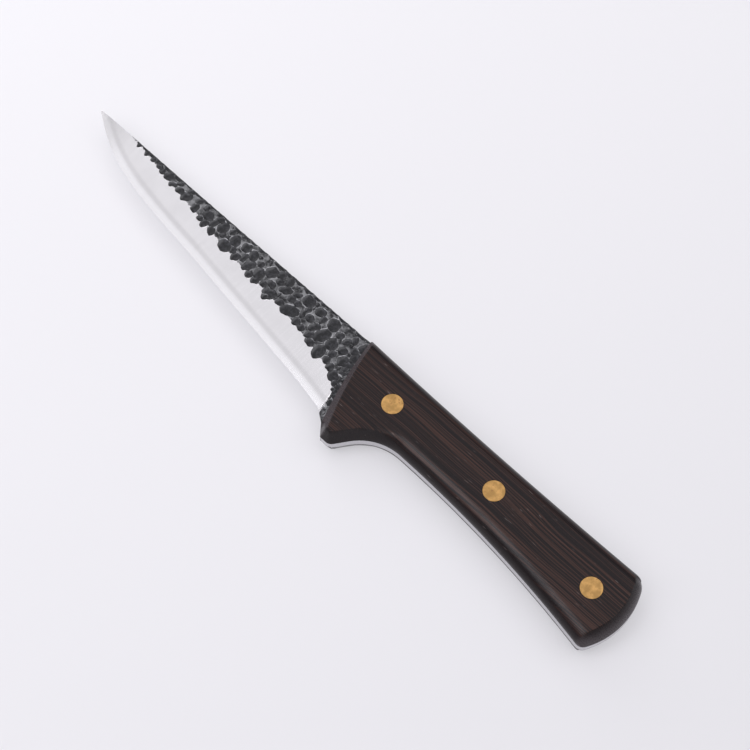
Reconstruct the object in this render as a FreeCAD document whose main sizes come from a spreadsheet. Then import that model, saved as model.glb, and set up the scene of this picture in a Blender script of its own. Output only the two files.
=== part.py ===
import FreeCAD, Part
import math
import os
import Sketcher

# A full-tang boning knife: one forged blade with its tang, two wooden handle scales, and three
# brass cutler's rivets, each of them a male half driven into the bore of a female half.
#
# The knife lies on the outer face of its right scale. +X runs from the tip to the butt, +Y from
# the edge to the spine and +Z out of the left scale. The origin is under the middle of the knife,
# on the surface that it lies on. Inside each body, X is zero where the handle starts, Y is zero
# on the spine and Z is zero on the middle plane of the steel.

SIZES = [
    # the blade's outline
    ("blade_length", 152.0, "tip to the front of the handle, along the spine"),
    ("tip_depth", 1.0, "height of the blunt tip"),
    ("belly_end", 132.0, "ahead of the handle, where the belly runs out into the tip"),
    ("belly_end_depth", 11.0, "spine to edge there"),
    ("belly_start", 105.0, "ahead of the handle, where the straight edge starts to curve up"),
    ("belly_start_depth", 16.5, "spine to edge there"),
    ("belly_bulge", 1.1, "how far the belly stands out from its chord"),
    ("heel_setback", 3.0, "the heel lies this far behind the handle's front at the spine"),
    ("heel_depth", 32.0, "spine to edge at the heel"),
    ("choil_end", 8.4, "where the steel runs in under the scales"),
    ("choil_end_depth", 35.5, "spine to that point"),
    # the blade's thickness
    ("tang_thickness", 3.0, "thickness of the tang"),
    ("spine_at_handle", 2.8, "blade thickness at the handle"),
    ("spine_at_tip", 1.2, "blade thickness at the tip"),
    ("edge_thickness", 0.3, "thickness left at the cutting edge"),
    ("plunge_lead", 3.7, "the ground blade stops this far ahead of the handle, at the spine"),
    ("grind_at_handle", 21.5, "spine to the top of the bevel at the handle"),
    ("grind_at_belly", 5.0, "spine to the top of the bevel where the belly starts"),
    # the handle's outline
    ("handle_length", 136.5, "front of the handle at the spine to the end of the butt"),
    ("guard_front", 11.2, "foremost corner of the finger guard"),
    ("guard_back", 17.1, "rear corner of the finger guard"),
    ("guard_depth", 40.3, "spine to the bottom of the finger guard"),
    ("groove_start", 21.3, "where the slope behind the guard turns into the finger groove"),
    ("groove_start_depth", 34.3, "spine to that point"),
    ("groove_end", 38.5, "where the finger groove runs out into the grip"),
    ("groove_end_depth", 25.4, "spine to the grip at its narrowest place"),
    ("groove_bulge", 2.4, "how far the finger groove bites in from its chord"),
    ("grip_bulge", 2.2, "how far the grip's lower side bites in from its chord"),
    ("butt_depth", 34.2, "spine to the lower corner of the butt"),
    ("butt_bulge", 5.0, "how far the butt stands out from its chord"),
    ("butt_top_depth", 0.8, "spine line to the upper corner of the butt"),
    ("back_bulge", 0.9, "how far the handle's back bites in from its chord"),
    ("guard_radius", 1.8, "rounding of the guard's rear corner"),
    # the scales
    ("scale_thickness", 6.0, "thickness of one scale"),
    ("scale_roundover", 5.5, "rounding of a scale's long sides and its butt"),
    ("scale_front_chamfer", 2.0, "bevel on the front of a scale"),
    # the rivets
    ("front_rivet_along", 24.0, "front rivet, behind the handle's front"),
    ("front_rivet_depth", 14.7, "front rivet, below the spine line"),
    ("middle_rivet_along", 73.0, "middle rivet"),
    ("middle_rivet_depth", 14.0, "middle rivet"),
    ("rear_rivet_setback", 15.5, "rear rivet, ahead of the end of the butt"),
    ("rear_rivet_depth", 17.0, "rear rivet"),
    ("head_diameter", 8.0, "rivet head"),
    ("head_height", 2.0, "rivet head"),
    ("sleeve_diameter", 5.0, "shank of the female half"),
    ("pin_diameter", 3.2, "shank of the male half"),
    ("pin_reach", 4.0, "the male half reaches this far past the middle of the handle"),
    ("head_clearance", 0.05, "gap round a head in its counterbore"),
    ("sleeve_clearance", 0.05, "gap round a sleeve in the scales and the tang"),
    ("pin_clearance", 0.01, "gap round the driven pin in its sleeve"),
    ("end_clearance", 0.5, "gap past the end of the sleeve and past the end of the pin"),
    # how far the cutting shapes stand clear of the steel that they cut
    ("cutter_margin", 0.5, "overrun of the bevel cutter"),
]

UP = FreeCAD.Vector(0, 0, 1)
ON_AXIS = None
RIVETS = ("front", "middle", "rear")


class Size:
    """A size known both as a number and as the formula on the sheet that gives it."""

    def __init__(self, number, formula):
        self.number = number
        self.formula = formula

    def joined(self, sign, other, number):
        return Size(number, f"({self.formula} {sign} {other.formula})")

    def __add__(self, other):
        return self.joined("+", other, self.number + other.number)

    def __sub__(self, other):
        return self.joined("-", other, self.number - other.number)

    def __mul__(self, other):
        return self.joined("*", other, self.number * other.number)

    def __truediv__(self, other):
        return self.joined("/", other, self.number / other.number)

    def __neg__(self):
        return Size(-self.number, f"(-{self.formula})")

    def root(self):
        return Size(math.sqrt(self.number), f"sqrt({self.formula})")

    def slant_angle(self, other):
        """The angle, in degrees, whose tangent is this size over the other one."""
        number = math.degrees(math.atan2(self.number, other.number))
        return Size(number, f"atan({self.formula} / {other.formula}) / 1 deg")


TWO = Size(2.0, "2")
NOTHING = Size(0.0, "0")


def bind(thing, path, size):
    thing.setExpression(path, size.formula)


def make_sheet(doc):
    """Write the driving sizes to a spreadsheet and return them by name."""
    sheet = doc.addObject("Spreadsheet::Sheet", "sizes")
    for row, (alias, value, meaning) in enumerate(SIZES, start=1):
        sheet.set(f"A{row}", meaning)
        sheet.set(f"B{row}", str(value))
        sheet.setAlias(f"B{row}", alias)
    doc.recompute()
    return {alias: Size(sheet.get(alias), f"sizes.{alias}") for alias, value, meaning in SIZES}


def origin_plane(body, role):
    for feature in body.Origin.OriginFeatures:
        if feature.Role == role:
            return feature
    raise RuntimeError(f"{body.Label} has no {role}")


def make_body(doc, size, label):
    """Make an empty body whose local axes start on the spine, at the front of the handle."""
    body = doc.addObject("PartDesign::Body", label)
    body.Label = label
    bind(body, "Placement.Base.x", (size["blade_length"] - size["handle_length"]) / TWO)
    bind(body, "Placement.Base.y", size["guard_depth"] / TWO)
    bind(body, "Placement.Base.z", size["scale_thickness"] + size["tang_thickness"] / TWO)
    return body


def make_sketch(body, name, role, offset=NOTHING):
    """Make a sketch on one of the body's own planes, moved along the plane's normal."""
    sketch = body.newObject("Sketcher::SketchObject", f"{body.Name}_{name}")
    sketch.AttachmentSupport = [(origin_plane(body, role), "")]
    sketch.MapMode = "FlatFace"
    bind(sketch, "AttachmentOffset.Base.z", offset)
    return sketch


def pin_point(sketch, geometry, end, place):
    """Hold a point at its place, measured from the sketch's axes."""
    for kind, axis, length in (("DistanceX", -2, place[0]), ("DistanceY", -1, place[1])):
        if length is ON_AXIS:
            sketch.addConstraint(Sketcher.Constraint("PointOnObject", geometry, end, axis))
        else:
            held = sketch.addConstraint(
                Sketcher.Constraint(kind, -1, 1, geometry, end, length.number))
            bind(sketch, f"Constraints[{held}]", length)


def numbers(place):
    along = 0.0 if place[0] is ON_AXIS else place[0].number
    across = 0.0 if place[1] is ON_AXIS else place[1].number
    return FreeCAD.Vector(along, across, 0)


def lengths(place):
    return [NOTHING if length is ON_AXIS else length for length in place]


def arc_radius(start, end, bulge):
    """The radius of the arc over a chord that it stands out from by its bulge."""
    start_x, start_y = lengths(start)
    end_x, end_y = lengths(end)
    run = end_x - start_x
    rise = end_y - start_y
    half_chord_squared = (run * run + rise * rise) / Size(4.0, "4")
    return (half_chord_squared + bulge * bulge) / (TWO * bulge)


def add_arc(sketch, start, end, bulge, outward):
    """Add an arc between two corners, and tell which of its own ends lies on which corner."""
    first, last = numbers(start), numbers(end)
    radius = arc_radius(start, end, bulge)
    left = UP.cross(last - first).normalize()
    side = 1.0 if outward else -1.0
    centre = (first + last) / 2 + left * side * (radius.number - bulge.number)
    turns = [math.atan2(point.y - centre.y, point.x - centre.x) for point in (first, last)]
    ends = (1, 2)
    if not outward:
        turns.reverse()
        ends = (2, 1)
    circle = Part.Circle(centre, UP, radius.number)
    geometry = sketch.addGeometry(Part.ArcOfCircle(circle, turns[0], turns[1]))
    held = sketch.addConstraint(Sketcher.Constraint("Radius", geometry, radius.number))
    bind(sketch, f"Constraints[{held}]", radius)
    return geometry, ends


def draw_outline(sketch, corners):
    """Draw a closed outline, counterclockwise. A corner is (place, bulge, outward) or (place,).

    The bulge belongs to the side from that corner to the next one, which is straight without it.
    """
    sides = []
    for corner, following in zip(corners, corners[1:] + corners[:1]):
        if len(corner) == 1:
            line = Part.LineSegment(numbers(corner[0]), numbers(following[0]))
            sides.append((sketch.addGeometry(line), (1, 2)))
        else:
            sides.append(add_arc(sketch, corner[0], following[0], corner[1], corner[2]))
    for index, (geometry, ends) in enumerate(sides):
        before, before_ends = sides[index - 1]
        sketch.addConstraint(
            Sketcher.Constraint("Coincident", before, before_ends[1], geometry, ends[0]))
        pin_point(sketch, geometry, ends[0], corners[index][0])


def grip_corners(size):
    """The handle's outline from the front corner of the guard round to the butt's upper corner."""
    butt = size["handle_length"] - size["butt_bulge"]
    return [
        ((size["guard_front"], -size["guard_depth"]),),
        ((size["guard_back"], -size["guard_depth"]),),
        ((size["groove_start"], -size["groove_start_depth"]), size["groove_bulge"], False),
        ((size["groove_end"], -size["groove_end_depth"]), size["grip_bulge"], False),
        ((butt, -size["butt_depth"]), size["butt_bulge"], True),
        ((butt, -size["butt_top_depth"]), size["back_bulge"], False),
    ]


def rivet_place(size, which):
    """The rivet's place on the side of the handle. The rear one is set out from the butt."""
    if which == "rear":
        along = size["handle_length"] - size["rear_rivet_setback"]
    else:
        along = size[f"{which}_rivet_along"]
    return along, -size[f"{which}_rivet_depth"]


def draw_rivet_circles(sketch, size, diameter):
    """Draw one circle at each rivet."""
    for which in RIVETS:
        place = rivet_place(size, which)
        circle = Part.Circle(numbers(place), UP, diameter.number / 2)
        geometry = sketch.addGeometry(circle)
        pin_point(sketch, geometry, 3, place)
        held = sketch.addConstraint(Sketcher.Constraint("Diameter", geometry, diameter.number))
        bind(sketch, f"Constraints[{held}]", diameter)


def add_feature(doc, body, kind, name, profile):
    feature = body.newObject(f"PartDesign::{kind}", f"{body.Name}_{name}")
    feature.Profile = profile
    doc.recompute()
    return feature


def dress_edges(doc, body, kind, name, chosen, path, size):
    """Round or bevel the edges of the body's last feature that the test picks out."""
    base = body.Tip
    names = [f"Edge{n}" for n, edge in enumerate(base.Shape.Edges, start=1) if chosen(edge)]
    if not names:
        raise RuntimeError(f"{body.Label}: no edge found for {name}")
    feature = body.newObject(f"PartDesign::{kind}", f"{body.Name}_{name}")
    feature.Base = (base, names)
    bind(feature, path, size)
    doc.recompute()
    return feature


def is_upright(edge):
    first, last = edge.Vertexes[0].Point, edge.Vertexes[-1].Point
    return edge.Curve.TypeId == "Part::GeomLine" and abs((last - first).normalize().z) > 0.999


def is_at(edge, corner):
    point = edge.Vertexes[0].Point
    return math.hypot(point.x - corner.x, point.y - corner.y) < 0.01


def round_guard(doc, body, size):
    """Round the upright edge at the guard's rear corner."""
    corner = numbers(grip_corners(size)[1][0])
    dress_edges(doc, body, "Fillet", "rounded_guard",
                lambda edge: is_upright(edge) and is_at(edge, corner),
                "Radius", size["guard_radius"])


def make_blade(doc, size):
    """The forged blade and its tang, which are one piece of steel."""
    body = make_body(doc, size, "blade")
    outline = make_sketch(body, "outline", "XY_Plane")
    draw_outline(outline, [
        ((ON_AXIS, ON_AXIS),),
        ((-size["blade_length"], ON_AXIS),),
        ((-size["blade_length"], -size["tip_depth"]),),
        ((-size["belly_end"], -size["belly_end_depth"]), size["belly_bulge"], True),
        ((-size["belly_start"], -size["belly_start_depth"]),),
        ((size["heel_setback"], -size["heel_depth"]),),
        ((size["choil_end"], -size["choil_end_depth"]),),
        *grip_corners(size),
    ])
    steel = add_feature(doc, body, "Pad", "steel", outline)
    steel.SideType = "Symmetric"
    bind(steel, "Length", size["tang_thickness"])
    doc.recompute()
    round_guard(doc, body, size)

    holes = make_sketch(body, "rivet_hole_circles", "XY_Plane")
    draw_rivet_circles(holes, size, size["sleeve_diameter"] + TWO * size["sleeve_clearance"])
    drilled = add_feature(doc, body, "Pocket", "rivet_holes", holes)
    drilled.Type = "ThroughAll"
    drilled.SideType = "Symmetric"
    doc.recompute()

    sections = [bevel_section(body, size, *station) for station in bevel_stations(size)]
    bevel = add_feature(doc, body, "SubtractiveLoft", "left_bevel", sections[0])
    bevel.Sections = sections[1:]
    bevel.Ruled = True
    doc.recompute()
    other_side = body.newObject("PartDesign::Mirrored", "blade_right_bevel")
    other_side.Originals = [bevel]
    other_side.MirrorPlane = (origin_plane(body, "XY_Plane"), [""])
    body.Tip = other_side
    doc.recompute()
    return body


def bevel_stations(size):
    """Name, place, edge depth, grind depth and slant of each section of the bevel cutter."""
    nose = size["blade_length"] + size["cutter_margin"]
    slant_run = size["plunge_lead"] + size["heel_setback"]
    return [
        ("tip", -nose, size["tip_depth"], NOTHING, NOTHING),
        ("belly_end", -size["belly_end"], size["belly_end_depth"], NOTHING, NOTHING),
        ("mid_belly", -(size["belly_start"] + size["belly_end"]) / TWO,
         (size["belly_start_depth"] + size["belly_end_depth"]) / TWO + size["belly_bulge"],
         size["grind_at_belly"] / TWO, NOTHING),
        ("belly_start", -size["belly_start"], size["belly_start_depth"],
         size["grind_at_belly"], NOTHING),
        ("plunge", -size["plunge_lead"], size["heel_depth"], size["grind_at_handle"], slant_run),
    ]


def bevel_section(body, size, name, along, edge_depth, grind_depth, slant_run):
    """One section of what is ground away on the left: beside the spine, then down the bevel.

    A section that slants leans back by slant_run over the depth of the edge.
    """
    sketch = make_sketch(body, f"bevel_at_{name}", "YZ_Plane", along)
    sketch.AttachmentOffset.Rotation = FreeCAD.Rotation(FreeCAD.Vector(0, 1, 0), 0)
    stretch = Size(1.0, "1")
    if slant_run is not NOTHING:
        sketch.AttachmentOffset = FreeCAD.Placement(
            sketch.AttachmentOffset.Base, FreeCAD.Rotation(FreeCAD.Vector(0, 1, 0), 1))
        bind(sketch, "AttachmentOffset.Rotation.Angle", slant_run.slant_angle(edge_depth))
        slope = slant_run / edge_depth
        stretch = (Size(1.0, "1") + slope * slope).root()
    margin = size["cutter_margin"]
    taper = (size["spine_at_handle"] - size["spine_at_tip"]) / size["blade_length"]
    flat = (size["spine_at_handle"] + along * taper) / TWO
    edge = size["edge_thickness"] / TWO
    edge_low = edge - margin * (flat - edge) / (edge_depth - grind_depth)
    low = -(edge_depth + margin) * stretch
    outside = size["tang_thickness"]
    draw_outline(sketch, [
        ((margin, flat),),
        ((margin, outside),),
        ((low, outside),),
        ((low, edge_low),),
        ((-(grind_depth * stretch), flat),),
    ])
    return sketch


def make_scale(doc, size, label, upper):
    """One handle scale, flat against the tang and rounded outside, bored for the rivets."""
    body = make_body(doc, size, label)
    side = 1.0 if upper else -1.0
    half_tang = size["tang_thickness"] / TWO
    inner = half_tang if upper else -half_tang
    outer = inner + size["scale_thickness"] if upper else inner - size["scale_thickness"]

    outline = make_sketch(body, "outline", "XY_Plane", inner)
    draw_outline(outline, [((ON_AXIS, ON_AXIS),), *grip_corners(size)])
    wood = add_feature(doc, body, "Pad", "wood", outline)
    wood.Reversed = not upper
    bind(wood, "Length", size["scale_thickness"])
    doc.recompute()

    def on_outer_face(edge):
        return all(abs(vertex.Point.z - outer.number) < 0.001 for vertex in edge.Vertexes)

    def is_front(edge):
        return edge.CenterOfMass.x < size["guard_front"].number

    dress_edges(doc, body, "Fillet", "roundover",
                lambda edge: on_outer_face(edge) and not is_front(edge),
                "Radius", size["scale_roundover"])
    round_guard(doc, body, size)
    dress_edges(doc, body, "Chamfer", "front_bevel",
                lambda edge: on_outer_face(edge) and is_front(edge),
                "Size", size["scale_front_chamfer"])

    bores = make_sketch(body, "bore_circles", "XY_Plane", inner)
    draw_rivet_circles(bores, size, size["sleeve_diameter"] + TWO * size["sleeve_clearance"])
    bored = add_feature(doc, body, "Pocket", "bores", bores)
    bored.Type = "ThroughAll"
    bored.Reversed = upper
    doc.recompute()

    seats = make_sketch(body, "seat_circles", "XY_Plane", outer)
    draw_rivet_circles(seats, size, size["head_diameter"] + TWO * size["head_clearance"])
    seated = add_feature(doc, body, "Pocket", "head_seats", seats)
    seated.Reversed = not upper
    bind(seated, "Length", size["head_height"])
    doc.recompute()
    return body


def make_rivet_half(doc, size, label, which, profile):
    """Turn a rivet half about the rivet's own axis, and set it where that rivet goes."""
    body = make_body(doc, size, label)
    along, across = rivet_place(size, which)
    bind(body, "Placement.Base.x",
         (size["blade_length"] - size["handle_length"]) / TWO + along)
    bind(body, "Placement.Base.y", size["guard_depth"] / TWO + across)
    sketch = make_sketch(body, "half_section", "XZ_Plane")
    draw_outline(sketch, [(place,) for place in profile])
    turned = add_feature(doc, body, "Revolution", "turned", sketch)
    turned.ReferenceAxis = (sketch, ["V_Axis"])
    turned.Angle = 360
    doc.recompute()
    return body


def male_profile(size):
    """Half section of the male half: a solid pin that hangs from its head."""
    face = size["scale_thickness"] + size["tang_thickness"] / TWO
    seat = face - size["head_height"]
    pin = size["pin_diameter"] / TWO
    head = size["head_diameter"] / TWO
    return [(ON_AXIS, -size["pin_reach"]), (pin, -size["pin_reach"]), (pin, seat),
            (head, seat), (head, face), (ON_AXIS, face)]


def female_profile(size):
    """Half section of the female half: a bored sleeve that stands on its head."""
    face = size["scale_thickness"] + size["tang_thickness"] / TWO
    seat = face - size["head_height"]
    sleeve = size["sleeve_diameter"] / TWO
    head = size["head_diameter"] / TWO
    bore = size["pin_diameter"] / TWO + size["pin_clearance"]
    mouth = seat - size["end_clearance"]
    floor = -(size["pin_reach"] + size["end_clearance"])
    return [(ON_AXIS, -face), (head, -face), (head, -seat), (sleeve, -seat),
            (sleeve, mouth), (bore, mouth), (bore, floor), (ON_AXIS, floor)]


def check_document(doc):
    for thing in doc.Objects:
        if "Invalid" in thing.State or "Error" in thing.State:
            raise RuntimeError(f"{thing.Label} failed: {thing.State}")


def main():
    doc = FreeCAD.newDocument("boning_knife")
    size = make_sheet(doc)
    bodies = [
        make_blade(doc, size),
        make_scale(doc, size, "left_scale", True),
        make_scale(doc, size, "right_scale", False),
    ]
    for which in RIVETS:
        bodies.append(
            make_rivet_half(doc, size, f"{which}_rivet_male", which, male_profile(size)))
        bodies.append(
            make_rivet_half(doc, size, f"{which}_rivet_female", which, female_profile(size)))
    doc.recompute()
    check_document(doc)

    os.makedirs("parts", exist_ok=True)
    for body in bodies:
        if body.Shape.isNull() or not body.Shape.isValid():
            raise RuntimeError(f"{body.Label} has no valid shape")
        body.Shape.exportStep(f"parts/{body.Label}.step")
        print(body.Label, round(body.Shape.Volume, 2), body.Shape.BoundBox)


main()
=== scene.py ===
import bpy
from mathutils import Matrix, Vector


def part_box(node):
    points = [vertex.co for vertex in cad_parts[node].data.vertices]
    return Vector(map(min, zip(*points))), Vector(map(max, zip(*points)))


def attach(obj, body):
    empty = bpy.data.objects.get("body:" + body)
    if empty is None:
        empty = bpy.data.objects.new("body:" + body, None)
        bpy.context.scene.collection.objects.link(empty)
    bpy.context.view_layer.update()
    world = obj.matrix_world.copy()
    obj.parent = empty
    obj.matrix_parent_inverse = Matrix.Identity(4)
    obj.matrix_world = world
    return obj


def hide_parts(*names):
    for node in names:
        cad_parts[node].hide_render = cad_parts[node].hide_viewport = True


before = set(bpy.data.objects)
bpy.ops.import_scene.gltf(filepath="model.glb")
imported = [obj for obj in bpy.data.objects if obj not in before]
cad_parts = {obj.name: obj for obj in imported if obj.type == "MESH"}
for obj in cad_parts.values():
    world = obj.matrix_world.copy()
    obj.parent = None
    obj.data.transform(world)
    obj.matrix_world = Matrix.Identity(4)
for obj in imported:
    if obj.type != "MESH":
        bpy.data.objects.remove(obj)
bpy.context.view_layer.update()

import math

import bmesh
import bpy
import numpy as np
from bpy.props import FloatProperty, FloatVectorProperty, PointerProperty
from mathutils import Vector

# A hammered full-tang boning knife. The forged blade and its tang are one piece of steel, the two
# scales are dark open-grained wood, and three flush brass rivets hold them together.
#
# The shapes are worked out in millimetres on the knife itself: X runs from the front of the
# handle to the butt, Y from the edge to the spine, and Z out of the middle of the steel.

bl_info = {
    "name": "Boning knife",
    "version": (1, 0, 0),
    "blender": (4, 5, 0),
    "location": "View3D > Sidebar > Knife",
    "description": "Models a hammered boning knife with wooden scales and brass rivets",
    "category": "Add Mesh",
}

MM = 0.001

BLADE_LENGTH = 152.0
HANDLE_LENGTH = 136.5
HALF_TANG = 1.5
HALF_SPINE_AT_HANDLE = 1.4
HALF_SPINE_AT_TIP = 0.6
HEAD_BORE = 4.09
PIN_BORE = 2.55
RIVETS = ("front", "middle", "rear")

blade_low, blade_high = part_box("blade")
scale_low, scale_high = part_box("left_scale")
FRONT_X = blade_high.x - HANDLE_LENGTH * MM
SPINE_Y = blade_high.y
MIDDLE_Z = (blade_low.z + blade_high.z) / 2
ORIGIN = np.array([FRONT_X, SPINE_Y, MIDDLE_Z])
SCALE_FACE = (scale_high.z - MIDDLE_Z) / MM
BODY = "root"


# ---------------------------------------------------------------------------------- properties

def length(label, meaning, millimetres):
    return FloatProperty(name=label, description=meaning, default=millimetres * MM,
                         unit="LENGTH", subtype="DISTANCE", precision=5)


def colour(label, meaning, red, green, blue):
    return FloatVectorProperty(name=label, description=meaning, default=(red, green, blue),
                               subtype="COLOR", size=3, min=0.0, max=1.0)


def share(label, meaning, amount):
    return FloatProperty(name=label, description=meaning, default=amount, min=0.0, max=1.0,
                         subtype="FACTOR")


def brightness(label, meaning, amount):
    return FloatProperty(name=label, description=meaning, default=amount, min=0.0)


class KNIFE_PG_steel(bpy.types.PropertyGroup):
    """The forged blade"""
    hollow_depth: length("Hollow depth", "How deep the hammer's hollows are", 0.50)
    small_hollow: length("Smallest hollow", "Radius of the smallest hollows", 1.0)
    large_hollow: length("Largest hollow", "Radius of the largest hollows", 3.1)
    edge_band: length("Edge band", "Width of the convex band along the cutting edge", 2.6)
    polished: colour("Polished steel", "The ground bevel", 0.735, 0.722, 0.742)
    scale_black: colour("Forge black", "The floor of a hollow", 0.013, 0.013, 0.015)
    land_grey: colour("Land grey", "The skin between the hollows", 0.215, 0.215, 0.225)
    ridge_grey: colour("Ridge grey", "The rubbed rims of the hollows", 0.66, 0.66, 0.69)
    polish_roughness: share("Polish roughness", "Roughness of the ground bevel", 0.24)


class KNIFE_PG_wood(bpy.types.PropertyGroup):
    """The handle scales"""
    grip_roundover: length("Grip roundover", "Rounding along the grip", 5.8)
    guard_lean: length("Guard lean", "How far the guard's wall leans in over its height", 2.2)
    butt_roundover: length("Butt roundover", "Width of the rounded bevel round the butt", 3.3)
    chamfer_at_spine: length("Chamfer at spine", "Width of the front bevel at the spine", 1.5)
    chamfer_at_guard: length("Chamfer at guard", "Width of the front bevel at the guard", 3.4)
    heartwood: colour("Heartwood", "The dark wood between the grain lines", 0.0075, 0.0042, 0.005)
    grain: colour("Grain", "The brown grain lines", 0.055, 0.0255, 0.0195)
    roughness: share("Roughness", "Roughness of the oiled wood", 0.27)


class KNIFE_PG_brass(bpy.types.PropertyGroup):
    """The rivets"""
    brass: colour("Brass", "The clean brass", 0.66, 0.385, 0.142)
    tarnish: colour("Tarnish", "The brown spots on it", 0.30, 0.15, 0.07)
    roughness: share("Roughness", "Roughness of the rubbed brass", 0.34)


class KNIFE_PG_stage(bpy.types.PropertyGroup):
    """The floor, the lights and the camera"""
    floor: colour("Floor", "The pale floor", 0.34, 0.335, 0.35)
    side_light: brightness("Side light", "Brightness of the large soft box", 2.9)
    far_light: brightness("Far light", "Brightness of the box on the far side", 0.7)
    tip_light: brightness("Tip light", "Brightness of the box beyond the tip", 1.7)
    near_light: brightness("Near light", "Brightness of the low box in front", 0.7)
    ceiling: brightness("Ceiling", "Brightness of the white ceiling", 0.66)
    surroundings: brightness("Surroundings", "Brightness of the room", 0.36)
    lens: FloatProperty(name="Lens", description="Focal length of the camera", default=81.6,
                        unit="CAMERA")
    distance: FloatProperty(name="Distance", description="Camera to the middle of the knife",
                            default=0.6145, unit="LENGTH", subtype="DISTANCE")
    elevation: FloatProperty(name="Elevation", description="Camera above the horizon",
                             default=math.radians(63.0), subtype="ANGLE", unit="ROTATION")
    azimuth: FloatProperty(name="Azimuth", description="Camera round the knife",
                           default=math.radians(44.54), subtype="ANGLE", unit="ROTATION")


# ------------------------------------------------------------------------------- mesh and scene

def start_clean():
    """Leave edit mode and deselect everything, so that the next operator acts on its own piece."""
    if bpy.context.object and bpy.context.object.mode != "OBJECT":
        bpy.ops.object.mode_set(mode="OBJECT")
    bpy.ops.object.select_all(action="DESELECT")


def make_active(piece):
    start_clean()
    piece.select_set(True)
    bpy.context.view_layer.objects.active = piece


def vertex_values(mesh, kind):
    """The places ("co") or the normals ("normal") of a mesh's vertices, one row each."""
    flat = np.empty(len(mesh.vertices) * 3)
    mesh.vertices.foreach_get(kind, flat)
    return flat.reshape(-1, 3)


def to_frame(points):
    """Knife millimetres to the frame's metres."""
    return points * MM + ORIGIN


def to_knife(mesh):
    """A mesh's vertices in knife millimetres."""
    return (vertex_values(mesh, "co") - ORIGIN) / MM


def add_sheet(name, points):
    """Add a grid of as many columns and rows as the array has points, and lay it on them."""
    columns, rows = points.shape[:2]
    start_clean()
    bpy.ops.mesh.primitive_grid_add(x_subdivisions=columns - 1, y_subdivisions=rows - 1, size=2)
    piece = bpy.context.object
    piece.name = name
    piece.data.name = name
    spots = vertex_values(piece.data, "co")
    column = np.rint((spots[:, 0] + 1) / 2 * (columns - 1)).astype(int)
    row = np.rint((spots[:, 1] + 1) / 2 * (rows - 1)).astype(int)
    piece.data.vertices.foreach_set("co", to_frame(points[column, row]).ravel())
    piece.data.update()
    return piece


def store(mesh, name, values):
    """Keep a value for each vertex, for the mesh's material to read."""
    layer = mesh.attributes.new(name, "FLOAT", "POINT")
    layer.data.foreach_set("value", values.astype(np.float32))


def drill(piece, cutter):
    """Cut a closed cutter out of the piece and throw the cutter away."""
    make_active(piece)
    hole = piece.modifiers.new("hole", "BOOLEAN")
    hole.operation = "DIFFERENCE"
    hole.solver = "MANIFOLD"
    hole.object = cutter
    bpy.ops.object.modifier_apply(modifier=hole.name)
    bpy.data.objects.remove(cutter)


def add_rod(centre, radius, low, high, sides=96):
    """A closed rod along Z between two heights, all in knife millimetres."""
    start_clean()
    bpy.ops.mesh.primitive_cylinder_add(
        vertices=sides, radius=radius * MM, depth=(high - low) * MM,
        location=(centre[0] * MM + FRONT_X, centre[1] * MM + SPINE_Y,
                  (low + high) / 2 * MM + MIDDLE_Z))
    rod = bpy.context.object
    bpy.ops.object.transform_apply(location=True, rotation=True, scale=True)
    return rod


def turn_outwards(piece):
    """Turn all of a closed piece's faces to point out of it."""
    make_active(piece)
    bpy.ops.object.mode_set(mode="EDIT")
    bpy.ops.mesh.select_all(action="SELECT")
    bpy.ops.mesh.normals_make_consistent(inside=False)
    bpy.ops.object.mode_set(mode="OBJECT")


def smooth_shading(piece, degrees):
    make_active(piece)
    bpy.ops.object.shade_smooth_by_angle(angle=math.radians(degrees))


def finish_piece(piece, slot, material, *nodes):
    """Give a piece its material and its body, and hide the CAD nodes that it stands for. The slot
    is not used.
    """
    piece.data.materials.clear()
    piece.data.materials.append(material)
    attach(piece, BODY)
    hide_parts(*nodes)


def rivet_centre(which):
    """Where a rivet goes through the handle, in knife millimetres."""
    low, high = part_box(which + "_rivet_male")
    return (((low.x + high.x) / 2 - FRONT_X) / MM, ((low.y + high.y) / 2 - SPINE_Y) / MM)


def blend_in(value, start, end):
    """0 at start, 1 at end and smooth between."""
    t = np.clip((value - start) / (end - start), 0.0, 1.0)
    return t * t * (3.0 - 2.0 * t)


def soft_curve(x, places, values):
    """A smooth curve through a few given points."""
    places = np.asarray(places, float)
    values = np.asarray(values, float)
    slopes = np.gradient(values, places)
    i = np.clip(np.searchsorted(places, x) - 1, 0, len(places) - 2)
    run = places[i + 1] - places[i]
    t = np.clip((x - places[i]) / run, 0.0, 1.0)
    a = (1 + 2 * t) * (1 - t) ** 2 * values[i]
    b = t * (1 - t) ** 2 * run * slopes[i]
    c = t ** 2 * (3 - 2 * t) * values[i + 1]
    d = t ** 2 * (t - 1) * run * slopes[i + 1]
    return a + b + c + d


# -------------------------------------------------------------------------------- the outlines

STRAIGHT = 0.0


def bowed(start, end, bulge, steps=60):
    """Points from start to end on an arc that stands out to the right of its chord by bulge."""
    start, end = np.array(start, float), np.array(end, float)
    chord = end - start
    span = np.hypot(*chord)
    right = np.array([chord[1], -chord[0]]) / span
    t = np.linspace(0, 1, steps + 1)
    if bulge == STRAIGHT:
        return start + np.outer(t, chord)
    radius = (span ** 2 / 4 + bulge ** 2) / (2 * abs(bulge))
    sweep = 2 * math.asin(min(1.0, span / 2 / radius))
    angles = (t - 0.5) * sweep
    along = np.sin(angles) * radius / span + 0.5
    out = (np.cos(angles) - math.cos(sweep / 2)) * radius * math.copysign(1, bulge)
    return start + np.outer(along, chord) + np.outer(out, right)


def join(*runs):
    """One path out of several that each start where the one before ends."""
    return np.vstack([runs[0]] + [run[1:] for run in runs[1:]])


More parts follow.
